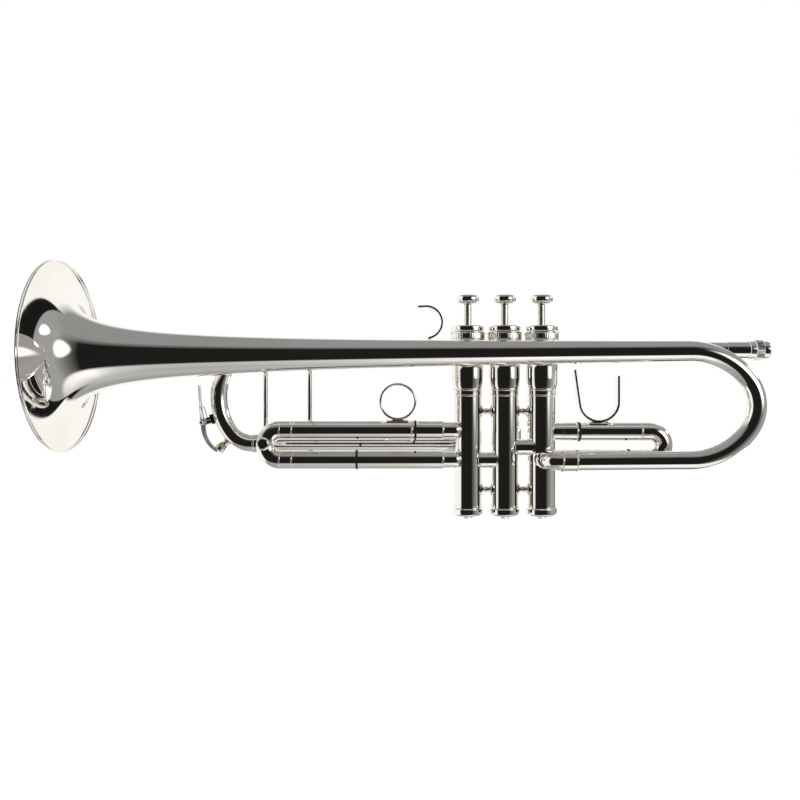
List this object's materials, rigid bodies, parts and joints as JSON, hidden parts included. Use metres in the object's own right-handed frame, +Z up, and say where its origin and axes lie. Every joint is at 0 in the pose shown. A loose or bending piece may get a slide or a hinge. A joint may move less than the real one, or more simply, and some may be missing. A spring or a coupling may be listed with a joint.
{
  "type": "trumpet",
  "caption": "Silver piston trumpet with flared bell, top-sprung valves, ringed third slide, thumb-saddle first slide, tuning slide with water key, and a little-finger hook.",
  "frame": {"origin": "on the middle valve's axis, half way up the valve block, where the left hand holds the instrument", "axes": "+X towards the mouthpiece end, -X towards the bell, +Y to the player's right, +Z up along the valves"},
  "size_m": [0.4762, 0.1409, 0.1687],
  "materials": {
    "silver": "polished silver plate on brass",
    "nickel": "lapped nickel silver",
    "spring_steel": "drawn wire",
    "pearl": "mother of pearl",
    "rubber": "satin",
    "felt": "pressed felt",
    "nylon": "moulded",
    "cork": "natural cork"
  },
  "bodies": {
    "instrument": {"bell": "silver", "bell_rim_wire": "silver", "bell_bow": "silver", "bell_tail_ferrule": "silver", "bell_elbow": "silver", "body_braces": "silver", "leadpipe": "silver", "mouthpiece_receiver": "silver", "pinky_hook": "silver", "tuning_sleeves": "silver", "entry_elbow": "silver", "valve_casing_1": "silver", "valve_casing_2": "silver", "valve_casing_3": "silver", "top_cap_1": "silver", "top_cap_2": "silver", "top_cap_3": "silver", "bottom_caps": "silver", "valve_knuckles": "silver", "casing_braces": "silver", "third_slide_ports": "silver", "first_slide_ports": "silver", "second_slide_ports": "silver", "slide_inner_tubes": "nickel", "slide_bumpers": "rubber", "cap_felts": "felt", "valve_guides": "nylon"},
    "valve_1": {"piston_1": "nickel", "valve_stem_1": "silver", "finger_button_1": "silver", "pearl_inlay_1": "pearl", "valve_spring_1": "spring_steel"},
    "valve_2": {"piston_2": "nickel", "valve_stem_2": "silver", "finger_button_2": "silver", "pearl_inlay_2": "pearl", "valve_spring_2": "spring_steel"},
    "valve_3": {"piston_3": "nickel", "valve_stem_3": "silver", "finger_button_3": "silver", "pearl_inlay_3": "pearl", "valve_spring_3": "spring_steel"},
    "first_slide": {"first_slide_tubes": "silver", "first_slide_bow": "silver", "thumb_saddle": "silver"},
    "second_slide": {"second_slide_legs": "nickel", "second_slide_bow": "silver"},
    "third_slide": {"third_slide_tubes": "silver", "third_slide_bow": "silver", "finger_ring": "silver", "drain_barrel": "silver"},
    "drain_plunger": {"drain_button": "nickel"},
    "tuning_slide": {"tuning_slide_bow": "silver", "tuning_slide_legs": "nickel", "tuning_slide_brace": "silver", "water_key_saddle": "silver", "water_key_pin": "nickel"},
    "water_key": {"water_key_lever": "silver", "water_key_cork": "cork", "water_key_spring": "spring_steel"}
  },
  "joints": [
    {"name": "valve_1_press", "type": "slide", "parent": "instrument", "child": "valve_1", "axis": [0, 0, -1], "range_m": [0, 0.014], "stiffness_N_per_m": 110, "springref_m": -0.024, "deforming": ["valve_spring_1"]},
    {"name": "valve_2_press", "type": "slide", "parent": "instrument", "child": "valve_2", "axis": [0, 0, -1], "range_m": [0, 0.014], "stiffness_N_per_m": 110, "springref_m": -0.024, "deforming": ["valve_spring_2"]},
    {"name": "valve_3_press", "type": "slide", "parent": "instrument", "child": "valve_3", "axis": [0, 0, -1], "range_m": [0, 0.014], "stiffness_N_per_m": 110, "springref_m": -0.024, "deforming": ["valve_spring_3"]},
    {"name": "first_slide_pull", "type": "slide", "parent": "instrument", "child": "first_slide", "axis": [1, 0, 0], "range_m": [0, 0.02]},
    {"name": "second_slide_pull", "type": "slide", "parent": "instrument", "child": "second_slide", "axis": [0.2588, 0.9659, 0], "range_m": [0, 0.012]},
    {"name": "third_slide_pull", "type": "slide", "parent": "instrument", "child": "third_slide", "axis": [-1, 0, 0], "range_m": [0, 0.025]},
    {"name": "tuning_slide_pull", "type": "slide", "parent": "instrument", "child": "tuning_slide", "axis": [-1, 0, 0], "range_m": [0, 0.03]},
    {"name": "water_key_hinge", "type": "hinge", "parent": "tuning_slide", "child": "water_key", "pos_m": [-0.20806, 0.024, -0.00064], "axis": [0, 1, 0], "range_deg": [0, 10], "stiffness_Nm_per_rad": 0.06, "springref_deg": -22.92},
    {"name": "drain_press", "type": "slide", "parent": "third_slide", "child": "drain_plunger", "axis": [0, 1, 0], "range_m": [0, 0.002], "stiffness_N_per_m": 400, "springref_m": -0.003}
  ]
}
